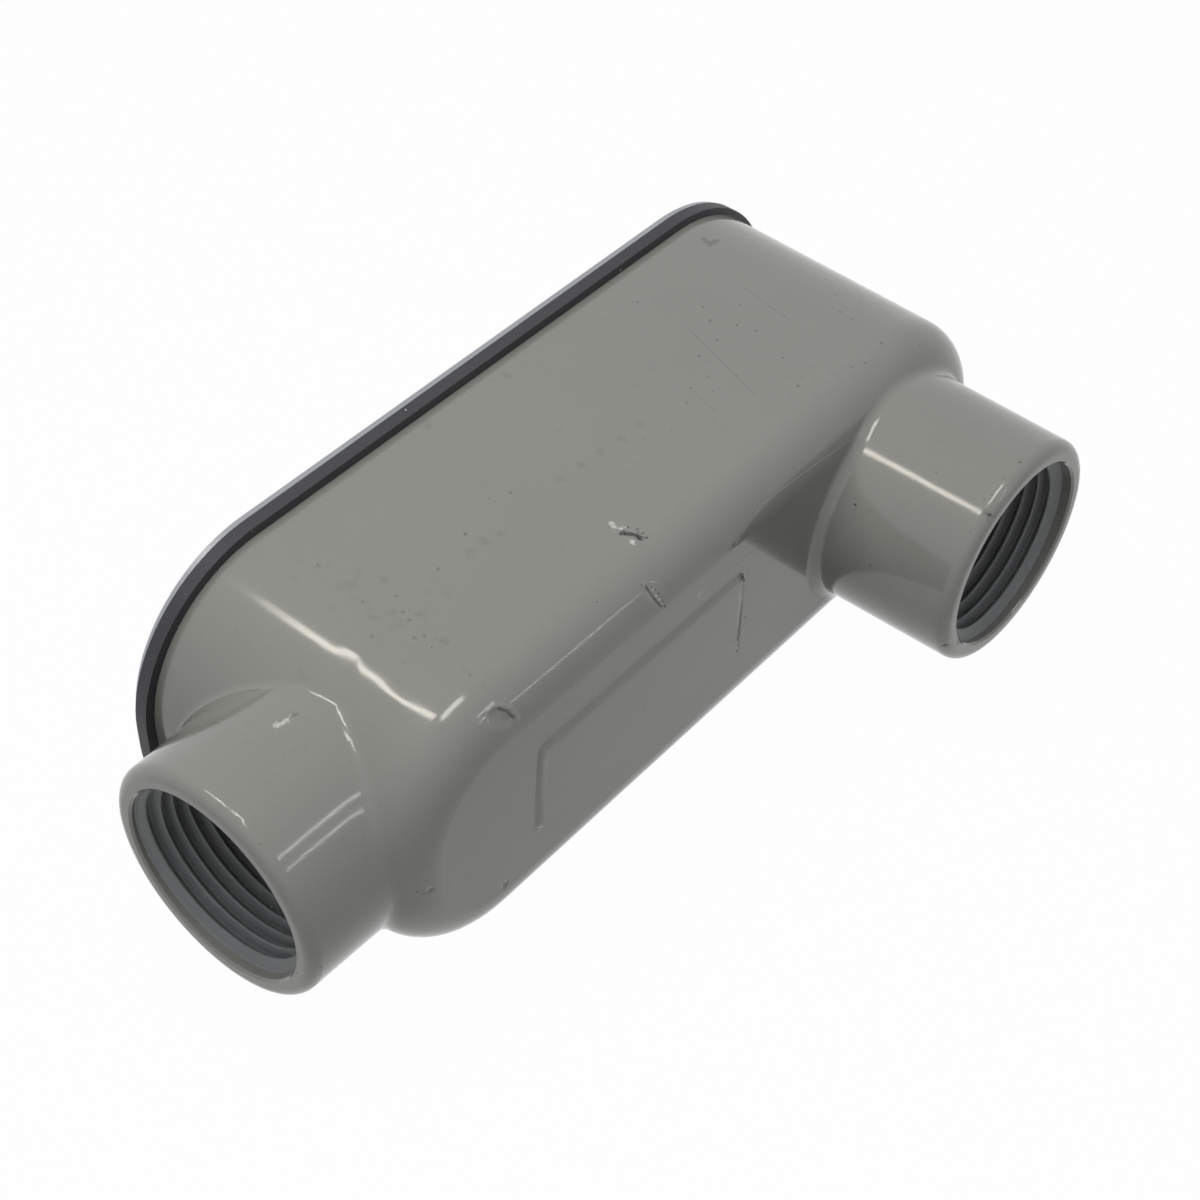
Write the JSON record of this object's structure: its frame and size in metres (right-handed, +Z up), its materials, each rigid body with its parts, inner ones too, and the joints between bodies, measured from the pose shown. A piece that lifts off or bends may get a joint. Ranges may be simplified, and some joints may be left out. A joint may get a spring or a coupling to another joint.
{
  "type": "conduit body",
  "caption": "Elbow fitting for rigid conduit: a round-ended cast box with a threaded hub on its end, another on its back, and a gasketed cover opposite.",
  "frame": {"origin": "middle of the whole fitting's box, on the surface that it lies on", "axes": "+X along the box towards the end hub's mouth, +Y from the cover to the back hub's mouth, +Z up, square to the side wall that lies on top"},
  "size_m": [0.1298, 0.0654, 0.0431],
  "materials": {
    "painted_casting": "light grey gloss paint on die-cast aluminium",
    "gasket_rubber": "matte black sheet",
    "cover_sheet": "bare stamped sheet",
    "screw_steel": "zinc plated"
  },
  "bodies": {
    "root": {"body": "painted_casting", "gasket": "gasket_rubber", "cover": "cover_sheet", "cover_screw_closed_end": "screw_steel", "cover_screw_hub_end": "screw_steel"}
  },
  "joints": []
}
